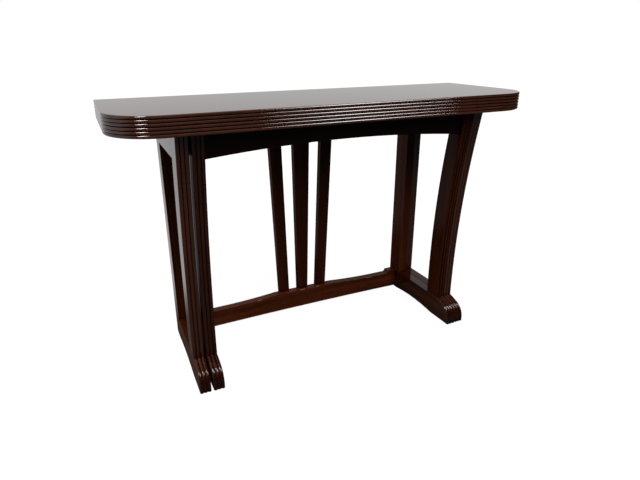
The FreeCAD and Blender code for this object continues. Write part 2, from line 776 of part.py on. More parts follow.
def build_apron():
    body = new_body("apron")
    rise = size.apron_arch_rise
    arch_radius = (frame_inner * frame_inner + rise * rise) / (rise * 2)
    pad(body, "board", "XZ_Plane", -apron_back, size.apron_thickness, [
        (-frame_inner, frame_top),
        (-frame_inner, rail_underside),
        (frame_inner, rail_underside, arch_radius, RIGHT),
        (frame_inner, frame_top),
    ])
    soften(body, "lower_arrises", long_lower_edges((rail_underside + frame_top) / 2))
    low, high = rail_underside + size.rail_tenon_shoulder, frame_top - size.rail_tenon_shoulder
    add_end_tenons(body, size.apron_tenon_length, apron_tenon_front, apron_tenon_back, low, high)
    stand_in_room(body)


def build_back_rail():
    body = new_body("back_rail")
    block(body, "Additive", "rail", (-frame_inner, rail_front, rail_underside),
          (frame_inner, rail_back, frame_top))
    soften(body, "lower_arrises", lambda edge: (
        edge.Length > LONG_EDGE and edge.CenterOfMass.z < rail_underside.value + 1
        and edge.CenterOfMass.y < (rail_front.value + rail_back.value) / 2))
    low, high = rail_underside + size.rail_tenon_shoulder, frame_top - size.rail_tenon_shoulder
    add_end_tenons(body, size.rail_tenon_length / 2, rail_front + size.rail_tenon_shoulder,
                   rail_back - size.rail_tenon_shoulder, low, high)
    drill_for_slats(body, back_rail_screw_heights())
    stand_in_room(body)


def build_stretcher():
    body = new_body("stretcher")
    high, low = size.stretcher_top_height, size.stretcher_top_height - size.stretcher_dip
    crown, dip, sweep = size.stretcher_crown_half, size.stretcher_dip, size.stretcher_sweep_length
    block_end = frame_inner - size.stretcher_block_length
    cove_end = block_end - dip
    sweep_radius = (sweep * sweep + dip * dip) / (dip * 2)
    underside, rise = size.stretcher_foot_clearance, size.stretcher_arch_rise
    arch_radius = (frame_inner * frame_inner + rise * rise) / (rise * 2)
    pad(body, "rail", "XZ_Plane", -rail_back, size.rail_thickness, [
        (-frame_inner, underside),
        (frame_inner, underside, arch_radius, RIGHT),
        (frame_inner, high),
        (block_end, high),
        (cove_end, low, dip, RIGHT),
        (crown + sweep, low),
        (crown, high, sweep_radius, RIGHT),
        (-crown, high),
        (-crown - sweep, low, sweep_radius, RIGHT),
        (-cove_end, low),
        (-block_end, high, dip, RIGHT),
        (-frame_inner, high),
    ])
    tenon_low, tenon_high = stretcher_tenon_heights()
    add_end_tenons(body, size.rail_tenon_length, rail_front + size.rail_tenon_shoulder,
                   rail_back - size.rail_tenon_shoulder, tenon_low, tenon_high)
    drill_for_slats(body, stretcher_screw_heights())
    stand_in_room(body)


def stretcher_screw_heights():
    """Heights of the two screws of each slat in the stretcher."""
    middle = (size.stretcher_foot_clearance + size.stretcher_top_height) / 2
    return middle - size.slat_screw_spacing / 2, middle + size.slat_screw_spacing / 2


def back_rail_screw_heights():
    """Heights of the two screws of each slat in the back rail."""
    middle = (rail_underside + frame_top) / 2
    return middle - size.slat_screw_spacing / 2, middle + size.slat_screw_spacing / 2


class Slat:
    """A slat that leans and tapers evenly from the stretcher's top to the back rail's underside."""

    def __init__(self, name, side, foot_centre, head_centre, foot_width, head_width):
        self.name, self.side = name, side
        self.foot_centre, self.head_centre = as_size(foot_centre), as_size(head_centre)
        self.foot_width, self.head_width = foot_width, head_width

    def at(self, height):
        """The slat's middle and half its width at a height."""
        share = (height - size.stretcher_top_height) / (rail_underside - size.stretcher_top_height)
        centre = (self.foot_centre + (self.head_centre - self.foot_centre) * share) * self.side
        return centre, (self.foot_width + (self.head_width - self.foot_width) * share) / 2


SLATS = (
    Slat("left", LEFT, size.side_slat_foot_centre, size.side_slat_head_centre,
         size.side_slat_foot_width, size.side_slat_head_width),
    Slat("centre", RIGHT, 0, 0, size.centre_slat_foot_width, size.centre_slat_head_width),
    Slat("right", RIGHT, size.side_slat_foot_centre, size.side_slat_head_centre,
         size.side_slat_foot_width, size.side_slat_head_width),
)


def drill_for_slats(body, heights):
    """Drills the back of a rail for the screws that come through the slats."""
    for slat in SLATS:
        for number, height in enumerate(heights):
            rod(body, "Subtractive", "%s_screw_hole_%d" % (slat.name, number),
                (slat.at(height)[0], rail_back, height), SLAT_SCREW.radius + size.screw_clearance,
                SLAT_SCREW.hole_depth - size.back_panel_thickness, TO_FRONT)


def build_slat(slat):
    body = new_body("slat_%s" % slat.name)
    low = size.stretcher_foot_clearance + size.stretcher_arch_rise + size.slat_end_margin
    high = frame_top - size.slat_end_margin
    (low_centre, low_half), (high_centre, high_half) = slat.at(low), slat.at(high)
    pad(body, "board", "XZ_Plane", 0, size.slat_thickness, [
        (low_centre - low_half, low),
        (low_centre + low_half, low),
        (high_centre + high_half, high),
        (high_centre - high_half, high),
    ])
    soften(body, "front_arrises", lambda edge: (
        edge.Length > LONG_EDGE and edge.CenterOfMass.y < -size.slat_thickness.value / 2))
    reach = size.top_length / 4
    for name, bottom, top in (
        ("foot", low - OVERRUN, size.stretcher_top_height),
        ("head", rail_underside, high + OVERRUN),
    ):
        block(body, "Subtractive", "%s_notch" % name, (-reach, -size.slat_thickness - OVERRUN, bottom),
              (reach, rail_back, top))
    for end, heights in (("foot", stretcher_screw_heights()), ("head", back_rail_screw_heights())):
        for number, height in enumerate(heights):
            sink_screw_hole(body, "%s_screw_hole_%d" % (end, number), (slat.at(height)[0], 0, height),
                            TO_FRONT, size.back_panel_thickness + OVERRUN, SLAT_SCREW)
    stand_in_room(body)


# ---------------------------------------------------------------------------------------------------------
# Blocks, hinges and screws
# ---------------------------------------------------------------------------------------------------------

def build_block(label, low_x, front, screw):
    """A block glued under the top, with the hole of the screw that holds the top down."""
    body = new_body(label)
    side = size.block_side
    block(body, "Additive", "block", (low_x, front, block_underside), (low_x + side, front + side, frame_top))
    sink_screw_hole(body, "screw_hole", (screw[0], screw[1], block_underside), UPRIGHT, size.block_height,
                    TOP_SCREW)
    stand_in_room(body)


def build_blocks():
    inset = size.block_side / 2
    places = top_screw_places()
    names = ("corner_block_front_left", "corner_block_back_left", "corner_block_front_right",
             "corner_block_back_right", "glue_block_apron", "glue_block_back_rail")
    for name, (across, back) in zip(names, places):
        build_block(name, across - inset, back - inset, (across, back))


def knuckle_spans(length):
    """Bottom and top of the three knuckles of a hinge, from its middle."""
    knuckle = (length - size.knuckle_gap * 2) / 3
    step = knuckle + size.knuckle_gap
    return [(step * index - knuckle / 2, step * index + knuckle / 2) for index in (-1, 0, 1)]


def build_plate(label, hinge, toward, is_moving):
    """A hinge plate that lies toward (+1 or -1) +X of its pin. The pin's axis is the plate's own Z axis."""
    body = new_body(label)
    length, width, seam = hinge.length, hinge.plate_width, hinge.seam
    outer_face = -size.hinge_axis_offset
    inner_face = outer_face - size.hinge_plate_thickness
    near, far = (seam / 2, width) if toward > 0 else (-width, -seam / 2)
    block(body, "Additive", "plate", (near, inner_face, -length / 2), (far, outer_face, length / 2))
    spans = knuckle_spans(length)
    own, others = (spans[1:2], spans[::2]) if is_moving else (spans[::2], spans[1:2])
    reach = size.barrel_radius + size.knuckle_gap
    for number, (low, high) in enumerate(others):
        block(body, "Subtractive", "barrel_notch_%d" % number,
              (-reach, inner_face - OVERRUN, low - size.knuckle_gap),
              (reach, outer_face + OVERRUN, high + size.knuckle_gap))
    for number, (low, high) in enumerate(own):
        rod(body, "Additive", "knuckle_%d" % number, (0, 0, low), size.barrel_radius, high - low)
    rod(body, "Subtractive", "pin_bore", (0, 0, -length), size.hinge_pin_radius + size.hinge_pin_clearance,
        length * 2)
    for number, row in enumerate(screw_rows()):
        sink_screw_hole(body, "screw_hole_%d" % number, (toward * hinge.screw_column, outer_face, row),
                        TO_FRONT, size.hinge_plate_thickness, HINGE_SCREW)
    return body


def build_pin(label, hinge):
    body = new_body(label)
    rod(body, "Additive", "pin", (0, 0, -hinge.length / 2), size.hinge_pin_radius, hinge.length)
    return body


def build_gate_hinges(gate):
    """The two hinges of a gate. Their pins stay with the fixed frame."""
    for name, height in gate_hinge_places():
        label = "%s_gate_hinge_%s" % ("left" if gate.side == LEFT else "right", name)
        axis = (gate.side * seam_centre, back_plane + size.hinge_axis_offset, height)
        place(build_plate(label + "_fixed_plate", GATE_HINGE, -gate.side, False), axis)
        place(build_pin(label + "_pin", GATE_HINGE), axis)
        gate.hang(build_plate(label + "_gate_plate", GATE_HINGE, gate.side, True), height)


def build_leaf_hinges():
    """The hinges between the two leaves. Their pins stay with the lower leaf."""
    for name, centre in leaf_hinge_places():
        label = "leaf_hinge_%s" % name
        axis = (centre, back_plane + size.hinge_axis_offset, leaf_seam_height)
        place(build_plate(label + "_fixed_plate", LEAF_HINGE, -1, False), axis, ALONG_TOP)
        place(build_pin(label + "_pin", LEAF_HINGE), axis, ALONG_TOP)
        place(build_plate(label + "_moving_plate", LEAF_HINGE, 1, True), axis, ALONG_TOP)


def build_screw_pattern(screw):
    """One screw, its head's flat face up at its own origin."""
    body = new_body(screw.label, is_node=False)
    head, point = screw.head_height, screw.point_length
    taper(body, "Additive", "head", (0, 0, 0), screw.head_radius, screw.radius, head, UPSIDE_DOWN)
    rod(body, "Additive", "shank", (0, 0, -head), screw.radius, screw.length - head - point, UPSIDE_DOWN)
    taper(body, "Additive", "point", (0, 0, point - screw.length), screw.radius, screw.radius / POINT_TAPER,
          point, UPSIDE_DOWN)
    slot = size.screw_slot_width / 2
    block(body, "Subtractive", "slot", (-screw.head_radius, -slot, -head / 2),
          (screw.head_radius, slot, head))
    return body


def build_screws(label, pattern, heads, rotation):
    """A group of equal screws with their heads at given places."""
    links = []
    for number, head in enumerate(heads):
        link = doc.addObject("App::Link", "%s_%d" % (label, number))
        link.LinkedObject = pattern
        place(link, head, rotation)
        links.append(link)
    group = doc.addObject("Part::Compound", label)
    group.Label = label
    group.Links = links
    nodes.append(group)
    return group


def gate_screw_heads(side, toward):
    """Heads of a gate hinge's screws, measured from the seam of an end frame."""
    across = toward * GATE_HINGE.screw_column
    return [(across + side, 0, height + row) for name, height in gate_hinge_places() for row in screw_rows()]


def leaf_screw_heads(toward):
    height = leaf_seam_height + toward * LEAF_HINGE.screw_column
    return [(centre + row, 0, height) for name, centre in leaf_hinge_places() for row in screw_rows()]


def build_all_screws(gates):
    hinge_screw = build_screw_pattern(HINGE_SCREW)
    slat_screw = build_screw_pattern(SLAT_SCREW)
    top_screw = build_screw_pattern(TOP_SCREW)
    stand_in_room(build_screws("leaf_hinge_screws_lower", hinge_screw, leaf_screw_heads(-1), TO_BACK))
    stand_in_room(build_screws("leaf_hinge_screws_upper", hinge_screw, leaf_screw_heads(1), TO_BACK))
    fixed = []
    for gate in gates:
        fixed += gate_screw_heads(gate.side * seam_centre, -gate.side)
        label = "%s_gate_hinge_screws" % ("left" if gate.side == LEFT else "right")
        gate.settle(build_screws(label, hinge_screw, gate_screw_heads(0, gate.side), TO_BACK))
    stand_in_room(build_screws("gate_hinge_screws_fixed", hinge_screw, fixed, TO_BACK))
    slat_heads = [(slat.at(height)[0], 0, height) for slat in SLATS
                  for height in stretcher_screw_heights() + back_rail_screw_heights()]
    stand_in_room(build_screws("slat_screws", slat_screw, slat_heads, TO_BACK))
    top_heads = [(across, back, block_underside) for across, back in top_screw_places()]
    stand_in_room(build_screws("top_fixing_screws", top_screw, top_heads, UPSIDE_DOWN))


# ---------------------------------------------------------------------------------------------------------
# The whole table
# ---------------------------------------------------------------------------------------------------------

def build_table():
    build_leaf("top_leaf_lower", frame_top, -1)
    build_leaf("top_leaf_upper", frame_top + size.leaf_thickness + size.leaf_gap, 1)
    gates = [HalfFrame(side, True) for side in (LEFT, RIGHT)]
    for half_frame in [HalfFrame(side, False) for side in (LEFT, RIGHT)] + gates:
        build_front_leg(half_frame)
        build_back_leg(half_frame)
        build_top_rail(half_frame)
        build_sled(half_frame)
    build_apron()
    build_back_rail()
    build_stretcher()
    for slat in SLATS:
        build_slat(slat)
    build_blocks()
    for gate in gates:
        build_gate_hinges(gate)
    build_leaf_hinges()
    build_all_screws(gates)


def check_document():
    """Stops where any object failed to compute, or a piece isn't a sound solid."""
    for item in doc.Objects:
        if "Invalid" in item.State or "Error" in item.State:
            raise RuntimeError("%s failed: %s" % (item.Name, item.State))
    for node in nodes:
        if node.Shape.isNull() or not node.Shape.isValid() or not node.Shape.Solids:
            raise RuntimeError("%s is not a sound solid" % node.Label)


def write_parts(folder):
    os.makedirs(folder, exist_ok=True)
    for node in nodes:
        node.Shape.exportStep(os.path.join(folder, node.Label + ".step"))


build_table()
doc.recompute()
check_document()
write_parts("parts")
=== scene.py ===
import math
from typing import NamedTuple
import bpy
from mathutils import Matrix, Vector


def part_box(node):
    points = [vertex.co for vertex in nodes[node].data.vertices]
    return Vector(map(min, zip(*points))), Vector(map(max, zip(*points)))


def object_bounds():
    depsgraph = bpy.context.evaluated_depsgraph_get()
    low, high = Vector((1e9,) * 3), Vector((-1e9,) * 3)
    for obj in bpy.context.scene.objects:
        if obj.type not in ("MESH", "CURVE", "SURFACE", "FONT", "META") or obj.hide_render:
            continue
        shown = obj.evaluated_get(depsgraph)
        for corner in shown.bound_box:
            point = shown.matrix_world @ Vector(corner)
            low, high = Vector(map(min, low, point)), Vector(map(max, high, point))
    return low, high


# Flip-top folding console table: its finish, the room's light and the camera. Metres, +X along the table to
# the right, +Y towards its back, +Z up, with the origin on the floor under the middle of the closed table.

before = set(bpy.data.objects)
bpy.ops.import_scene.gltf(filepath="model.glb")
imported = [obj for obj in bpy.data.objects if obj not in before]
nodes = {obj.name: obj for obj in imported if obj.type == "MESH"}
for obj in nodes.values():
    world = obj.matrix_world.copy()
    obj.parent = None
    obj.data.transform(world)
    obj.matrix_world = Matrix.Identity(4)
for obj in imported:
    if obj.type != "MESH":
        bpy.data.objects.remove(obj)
cad_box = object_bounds()
table_low, table_high = cad_box

WHITE = (1.0, 1.0, 1.0)
UP = (0.0, 0.0, 1.0)
BACKWARDS = (0.0, 1.0, 0.0)


# ---------------------------------------------------------------------------------------------------------
# Camera
# ---------------------------------------------------------------------------------------------------------

CAMERA_PLACE = Vector((-0.6520, -1.3050, 0.9088))
CAMERA_YAW = 0.4317      # radians to the right of +Y
CAMERA_PITCH = 0.3582    # radians below the horizon
CAMERA_ROLL = 0.0055     # radians
CAMERA_LENS = 28.10      # mm
CAMERA_SENSOR = 36.0     # mm
CAMERA_SHIFT = (0.0153, -0.0197)
CAMERA_CLIP = (0.05, 100.0)


def make_camera():
    """The camera at its place, turned by its yaw, pitch and roll."""
    data = bpy.data.cameras.new("camera")
    data.lens = CAMERA_LENS
    data.sensor_width = CAMERA_SENSOR
    data.shift_x, data.shift_y = CAMERA_SHIFT
    data.clip_start, data.clip_end = CAMERA_CLIP
    level_ahead = Vector((math.sin(CAMERA_YAW), math.cos(CAMERA_YAW), 0))
    right = Vector((math.cos(CAMERA_YAW), -math.sin(CAMERA_YAW), 0))
    ahead = level_ahead * math.cos(CAMERA_PITCH) - Vector((0, 0, math.sin(CAMERA_PITCH)))
    down = ahead.cross(right)
    rolled_right = right * math.cos(CAMERA_ROLL) + down * math.sin(CAMERA_ROLL)
    rolled_down = down * math.cos(CAMERA_ROLL) - right * math.sin(CAMERA_ROLL)
    turn = Matrix((rolled_right, -rolled_down, -ahead)).transposed()
    camera = bpy.data.objects.new("camera", data)
    camera.matrix_world = Matrix.Translation(CAMERA_PLACE) @ turn.to_4x4()
    bpy.context.scene.collection.objects.link(camera)
    bpy.context.scene.camera = camera


# ---------------------------------------------------------------------------------------------------------
# Shader building
# ---------------------------------------------------------------------------------------------------------

MASK_SAMPLES = 6         # of the masks that look at the shape around a point


class Shader:
    """A node tree under construction, with short calls for the nodes that the finishes share."""

    def __init__(self, tree):
        self.tree = tree

    def node(self, kind, **settings):
        """A new node of a kind, with its settings."""
        made = self.tree.nodes.new("ShaderNode" + kind)
        for name, value in settings.items():
            setattr(made, name, value)
        return made

    def feed(self, source, target):
        """Links a socket, or sets a plain value, on a target socket."""
        if isinstance(source, bpy.types.NodeSocket):
            self.tree.links.new(source, target)
        else:
            target.default_value = source

    def place(self, scale, turn, shift):
        """Coordinates that stay with the piece, in metres, moved, turned and then scaled."""
        coordinates = self.node("TexCoord")
        turned = self.node("Mapping", vector_type="POINT")
        self.feed(coordinates.outputs["Object"], turned.inputs["Vector"])
        turned.inputs["Rotation"].default_value = turn
        turned.inputs["Location"].default_value = shift
        stretched = self.node("VectorMath", operation="MULTIPLY")
        self.feed(turned.outputs["Vector"], stretched.inputs[0])
        stretched.inputs[1].default_value = scale
        return stretched.outputs["Vector"]

    def noise(self, vector, detail, roughness, distortion):
        made = self.node("TexNoise")
        self.feed(vector, made.inputs["Vector"])
        made.inputs["Scale"].default_value = 1.0
        made.inputs["Detail"].default_value = detail
        made.inputs["Roughness"].default_value = roughness
        made.inputs["Distortion"].default_value = distortion
        return made.outputs["Fac"]

    def ramp(self, factor, *stops):
        """A colour ramp through stops, each a position and a colour."""
        made = self.node("ValToRGB")
        self.feed(factor, made.inputs["Fac"])
        elements = made.color_ramp.elements
        while len(elements) < len(stops):
            elements.new(0.5)
        for element, (position, colour) in zip(elements, stops):
            element.position = position
            element.color = (*colour, 1.0)
        return made.outputs["Color"]

    def fade(self, factor, low, high, start=0.0, end=1.0):
        """Maps low..high to start..end, smoothly and within those ends."""
        made = self.node("MapRange", interpolation_type="SMOOTHSTEP")
        self.feed(factor, made.inputs["Value"])
        for name, value in (("From Min", low), ("From Max", high), ("To Min", start), ("To Max", end)):
            made.inputs[name].default_value = value
        return made.outputs["Result"]

    def sums(self, operation, *values):
        """Arithmetic on sockets and plain numbers."""
        made = self.node("Math", operation=operation)
        for value, socket in zip(values, made.inputs):
            self.feed(value, socket)
        return made.outputs[0]

    def along(self, vector, way):
        """How far a vector reaches along a direction."""
        made = self.node("VectorMath", operation="DOT_PRODUCT")
        self.feed(vector, made.inputs[0])
        self.feed(way, made.inputs[1])
        return made.outputs["Value"]

    def mix(self, factor, first, second):
        """The first colour, covered by the second as far as the factor says."""
        made = self.node("Mix", data_type="RGBA")
        self.feed(factor, made.inputs["Factor"])
        colour_inputs = [socket for socket in made.inputs if socket.type == "RGBA"]
        for source, socket in zip((first, second), colour_inputs):
            self.feed(source if isinstance(source, bpy.types.NodeSocket) else (*source, 1.0), socket)
        return next(socket for socket in made.outputs if socket.type == "RGBA")

    def bump(self, height, strength, distance):
        """The normal of a surface that a height raises, or sinks where the distance is negative."""
        made = self.node("Bump")
        made.inputs["Strength"].default_value = strength
        made.inputs["Distance"].default_value = distance
        self.feed(height, made.inputs["Height"])
        return made.outputs["Normal"]

    def worn_edges(self, radius, low, high):
        """1 along arrises and 0 on flat faces: how far a rounded normal turns from the face's own."""
        rounded = self.node("Bevel", samples=MASK_SAMPLES)
        rounded.inputs["Radius"].default_value = radius
        turned = self.along(rounded.outputs["Normal"], self.node("NewGeometry").outputs["Normal"])
        return self.fade(turned, high, low)

    def crevices(self, reach, low, high):
        """1 deep in grooves and corners and 0 in the open: the mask of the painted shade there."""
        made = self.node("AmbientOcclusion", samples=MASK_SAMPLES)
        made.inputs["Distance"].default_value = reach
        return self.fade(made.outputs["AO"], low, high, 1.0, 0.0)


class Layer(NamedTuple):
    """A noise that follows the grain of a piece."""
    waves: tuple             # a metre, along the grain and across it
    cover: tuple = ()        # noise values where it starts and is full, and its least and most if not 0 and 1
    detail: float = 2
    roughness: float = 0.55
    distortion: float = 0.0


# The turns that lay a texture's X axis along the grain, by the axis of the piece that the grain follows.
ALONG = {
    "X": (0.0, 0.0, 0.0),
    "Y": (0.0, 0.0, math.radians(-90)),
    "Z": (0.0, math.radians(90), 0.0),
}


class Grained(Shader):
    """The node tree of one piece's finish, with layers along its grain and stains at its own tone, which on
    mahogany also holds painted light and shade.
    """

    def __init__(self, tree, grain, shift, tone=1.0):
        super().__init__(tree)
        self.grain = grain
        self.shift = shift
        self.tone = tone

    def layer(self, kind):
        """How far a layer covers each point, or its plain noise where it has no cover."""
        along, across = kind.waves
        vector = self.place((along, across, across), ALONG[self.grain], self.shift)
        noise = self.noise(vector, kind.detail, kind.roughness, kind.distortion)
        return self.fade(noise, *kind.cover) if kind.cover else noise

    def stained(self, colour):
        """A stain's colour at the piece's tone, painted light and shade included."""
        return tuple(channel * self.tone for channel in colour)


def new_material(name):
    """A new material and the sockets of its surface."""
    material = bpy.data.materials.new(name)
    material.use_nodes = True
    return material, material.node_tree.nodes["Principled BSDF"].inputs


# ---------------------------------------------------------------------------------------------------------
# Polished mahogany
# ---------------------------------------------------------------------------------------------------------

# How light the stain is and how full the polish, by words in a piece's name. The first that fits counts.
# The tones are set piece by piece to each piece's brightness, so they hold painted light and shade as well as
# the stain:
# the apron is darkened as painted shade under the top, the front legs are darker than the back legs, and the
# stretcher and the right fixed back leg are lightened as painted light, which makes lit and shaded copies of
# one mahogany.
TONES_PAINTED_LIGHT_AND_POLISH = {
    "stretcher": (1.55, 0.25),
    "slat": (0.80, 0.12),
    "back_rail": (0.50, 0.30),
    "apron": (0.14, 0.30),
    "top_leaf": (0.70, 1.00),
    "right_fixed_back_leg": (1.00, 0.12),
    "right_fixed_front_leg": (0.60, 0.12),
    "fixed_front_leg": (0.55, 0.45),
    "gate_sled": (0.72, 0.45),
    "sled": (0.58, 0.65),
    "fixed": (0.75, 0.30),
    "gate": (0.80, 0.85),
}

RIBBONS = Layer((1.6, 34), detail=4, roughness=0.6, distortion=0.5)
CLOUDS = Layer((2.2, 7), (0.35, 0.70, 0.0, 0.45))
FIBRES = Layer((12, 520), (0.42, 0.66, 0.0, 0.30), roughness=0.6)
PORES = Layer((70, 1500), (0.60, 0.70), detail=1)
WEAR_PATCHES = Layer((26, 26), (0.38, 0.62, 0.25, 0.80), detail=3)
CHIP_PATCHES = Layer((22, 60), (0.57, 0.61))
SMEARS = Layer((5, 16), (0.30, 0.75, 0.30, 0.46), detail=4)    # in place of a cover, the roughness
LACQUER_WAVES = Layer((3, 14), detail=1)

# Stains at a tone of 1.
RIBBON_STAINS = (
    (0.30, (0.013, 0.0022, 0.0006)),
    (0.50, (0.026, 0.0050, 0.0014)),
    (0.70, (0.044, 0.0100, 0.0026)),
)
CLOUD_STAIN = (0.020, 0.0040, 0.0012)
FIBRE_STAIN = (0.040, 0.0100, 0.0032)
WORN_STAIN = (0.090, 0.022, 0.0075)
END_GRAIN_STAIN = (0.006, 0.0012, 0.0004)

# Colours that no tone changes.
PORE_COLOUR = (0.003, 0.0008, 0.0004)
BARE_WOOD = (0.30, 0.20, 0.13)
# Painted shade: the near-black colour laid into grooves, corners and the gaps between parts, where little
# light reaches.
CREVICE_SHADE_COLOUR = (0.0015, 0.0004, 0.0003)

PORE_COVER = 0.7
PORE_BUMP = (0.18, -0.0002)           # strength and height
LACQUER_BUMP = (0.02, 0.0006)
LACQUER_ROUGHNESS = 0.05
LACQUER_IOR = 1.50

# A radius, and how far the normal rounded by it agrees with the face's own at full wear and at none.
EDGE_WEAR = (0.0016, 0.90, 0.985)
CHIPPED_EDGE = (0.0035, 0.93, 0.99)

END_GRAIN_COVER = (0.50, 0.95, 0.0, 0.75)
# Painted shade in grooves and corners: how far the ambient occlusion mask reaches, and how much of the
# painted shade covers.
CREVICE_SHADE_DEPTH = (0.007, 0.45, 1.0)      # reach, and how open a place is at full painted shade and at none
CREVICE_SHADE_COVER = 0.95

REEDS = 3                             # on each leaf's edge and on each front leg and foot
REED_MIDDLE = 0.5                     # of a reed's width
CREST_WEAR = {"top_leaf": 0.6, "front_leg": 0.1}
CREST_REACH = (0.05, 0.24)            # of a reed's width, from its middle line: full wear and none
LEAF_BACK = (0.5, 0.9)                # how far a face looks backwards where a leaf's reeds fade out
LEG_FRONT = (0.4, 0.7)                # how far a face looks forwards where a leg's reeds fade in
FORWARDS_AND_UP = (0.0, -1.0, 0.3)


def reed_crests(shader, piece):
    """1 along the crests of a piece's reeds, and 0 in its grooves and on its flat faces."""
    low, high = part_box(piece)
    is_leaf = piece.startswith("top_leaf")
    across = "Z" if is_leaf else "X"
    axis = "XYZ".index(across)
    pitch = (high[axis] - low[axis]) / REEDS
    coordinates = shader.node("TexCoord")
    place = shader.node("SeparateXYZ")
    shader.feed(coordinates.outputs["Object"], place.inputs["Vector"])
    passed = shader.sums("SUBTRACT", place.outputs[across], low[axis])
    across_reed = shader.sums("FRACT", shader.sums("DIVIDE", passed, pitch))
    off_crest = shader.sums("ABSOLUTE", shader.sums("SUBTRACT", across_reed, REED_MIDDLE))
    crest = shader.fade(off_crest, *CREST_REACH, 1.0, 0.0)
    facing = coordinates.outputs["Normal"]
    if is_leaf:
        reeded = shader.fade(shader.along(facing, BACKWARDS), *LEAF_BACK, 1.0, 0.0)
    else:
        reeded = shader.fade(shader.along(facing, FORWARDS_AND_UP), *LEG_FRONT)
    return shader.sums("MULTIPLY", crest, reeded)


def figure(wood):
    """The stain on the ribbons, clouds and fibres of the grain."""
    stops = [(position, wood.stained(colour)) for position, colour in RIBBON_STAINS]
    stain = wood.ramp(wood.layer(RIBBONS), *stops)
    stain = wood.mix(wood.layer(CLOUDS), stain, wood.stained(CLOUD_STAIN))
    return wood.mix(wood.layer(FIBRES), stain, wood.stained(FIBRE_STAIN))


def wear(wood, piece):
    """1 where hands and cloths have rubbed the stain off: patches along edges and on the reeds' crests."""
    rubbed = wood.worn_edges(*EDGE_WEAR)
    for word, share in CREST_WEAR.items():
        if word in piece:
            rubbed = wood.sums("MAXIMUM", rubbed, wood.sums("MULTIPLY", reed_crests(wood, piece), share))
    return wood.sums("MULTIPLY", rubbed, wood.layer(WEAR_PATCHES))


def chips(wood):
    """1 where small chips along the edges bare the wood."""
    return wood.sums("MULTIPLY", wood.worn_edges(*CHIPPED_EDGE), wood.layer(CHIP_PATCHES))


def end_grain(wood):
    """How far the darker end grain covers the faces across the grain."""
    grain_way = Vector([axis == wood.grain for axis in "XYZ"])
    facing = wood.along(wood.node("TexCoord").outputs["Normal"], grain_way)
    return wood.fade(wood.sums("ABSOLUTE", facing), *END_GRAIN_COVER)


def polished_mahogany(piece, shift, tone, polish):
    """Dark stained mahogany under clear lacquer."""
    material, surface = new_material("mahogany_" + piece)
    # The tone passed in lightens and darkens the stains piece by piece as painted light and shade.
    wood = Grained(material.node_tree, grain_of(piece), shift, tone)
    pores = wood.layer(PORES)
    stain = wood.mix(wood.sums("MULTIPLY", pores, PORE_COVER), figure(wood), PORE_COLOUR)
    stain = wood.mix(wear(wood, piece), stain, wood.stained(WORN_STAIN))
    if piece == "stretcher":
        stain = wood.mix(chips(wood), stain, BARE_WOOD)
    stain = wood.mix(end_grain(wood), stain, wood.stained(END_GRAIN_STAIN))
    # Painted shade: grooves, corners and the gaps between parts are darkened towards near black by an ambient
    # occlusion mask.
    crevice_shade = wood.sums("MULTIPLY", wood.crevices(*CREVICE_SHADE_DEPTH), CREVICE_SHADE_COVER)
    wood.feed(wood.mix(crevice_shade, stain, CREVICE_SHADE_COLOUR), surface["Base Color"])
    wood.feed(wood.layer(SMEARS), surface["Roughness"])
    wood.feed(wood.bump(pores, *PORE_BUMP), surface["Normal"])
    wood.feed(wood.bump(wood.layer(LACQUER_WAVES), *LACQUER_BUMP), surface["Coat Normal"])
    surface["Specular IOR Level"].default_value = 0.0
    surface["Coat Weight"].default_value = polish
    surface["Coat Roughness"].default_value = LACQUER_ROUGHNESS
    surface["Coat IOR"].default_value = LACQUER_IOR
    return material


# ---------------------------------------------------------------------------------------------------------
# Unpolished wood and metal
# ---------------------------------------------------------------------------------------------------------

RAW_RINGS = Layer((3, 90), detail=4, distortion=0.6)
RAW_RING_COLOURS = (
    (0.30, (0.16, 0.085, 0.040)),
    (0.60, (0.26, 0.150, 0.075)),
    (0.80, (0.33, 0.200, 0.105)),
)
RAW_FIBRES = Layer((30, 900))
RAW_FIBRE_COLOUR = (0.12, 0.060, 0.028)
RAW_BUMP = (0.35, 0.0003)

BRUSHED = Layer((1400, 60))
BRUSHED_BUMP = (0.12, 0.0001)
PATINA = Layer((70, 70), detail=5, roughness=0.65)
METAL_EDGE_WEAR = (0.0005, 0.90, 0.985)
METAL_EDGE_COVER = 0.6

# Noise values, and the cover or the roughness at each.
RAW_FIBRE_COVER = (0.40, 0.70, 0.0, 0.35)
RAW_ROUGHNESS = (0.30, 0.70, 0.62, 0.85)
BRUSHED_COVER = (0.35, 0.70, 0.0, 0.25)
PATINA_COVER = (0.40, 0.68, 0.0, 1.0)
PATINA_ROUGHNESS = (0.35, 0.70, 0.24, 0.52)

# Each metal's colour where it is bright and where it is dull.
BRASS = ((0.62, 0.42, 0.17), (0.30, 0.19, 0.075))
STEEL = ((0.46, 0.45, 0.43), (0.20, 0.185, 0.17))


def raw_wood(piece, shift):
    """Unpolished hardwood of the blocks, toned down by age."""
    material, surface = new_material("raw_wood_" + piece)
    wood = Grained(material.node_tree, grain_of(piece), shift)
    fibres = wood.layer(RAW_FIBRES)
    colour = wood.ramp(wood.layer(RAW_RINGS), *RAW_RING_COLOURS)
    colour = wood.mix(wood.fade(fibres, *RAW_FIBRE_COVER), colour, RAW_FIBRE_COLOUR)
    wood.feed(colour, surface["Base Color"])
    wood.feed(wood.fade(fibres, *RAW_ROUGHNESS), surface["Roughness"])
    wood.feed(wood.bump(fibres, *RAW_BUMP), surface["Normal"])
    return material


